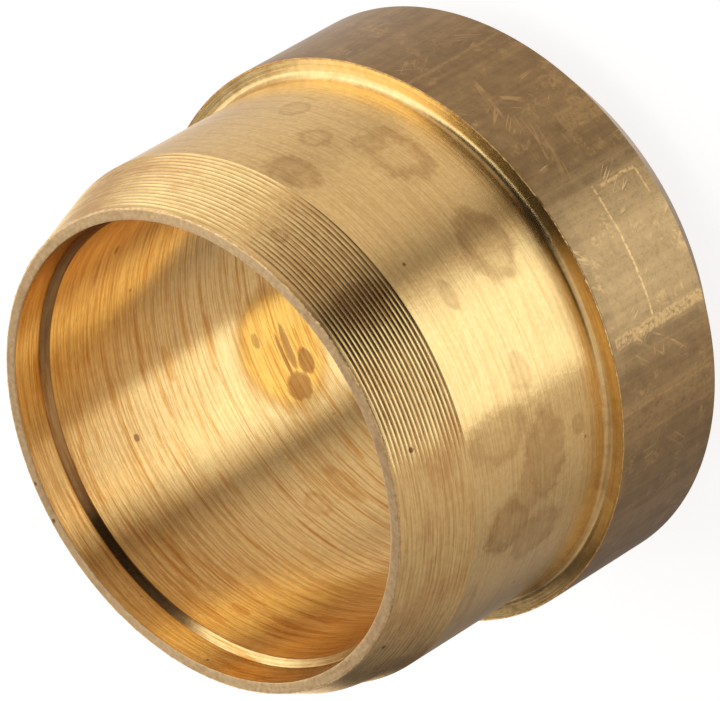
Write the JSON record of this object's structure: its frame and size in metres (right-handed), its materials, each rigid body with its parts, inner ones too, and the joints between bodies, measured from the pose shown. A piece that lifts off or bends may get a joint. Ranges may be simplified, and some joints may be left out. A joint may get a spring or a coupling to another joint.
{
  "type": "sealing ring",
  "caption": "Turned brass compression sealing ring with a grooved nose cone, a plain cylinder, a shouldered collar and a stepped bore that grips a tube.",
  "frame": {"origin": "centre of the rear face, on the ring's axis", "axes": "+Z along the bore axis, from the rear face towards the nose; the ring is round, so +X and +Y are free"},
  "size_m": [0.013, 0.013, 0.01],
  "materials": {
    "brass": "turned, with fine lathe marks, a dull drawn-bar skin on the collar and light brown tarnish"
  },
  "bodies": {
    "root": {"sealing_ring": "brass"}
  },
  "joints": []
}
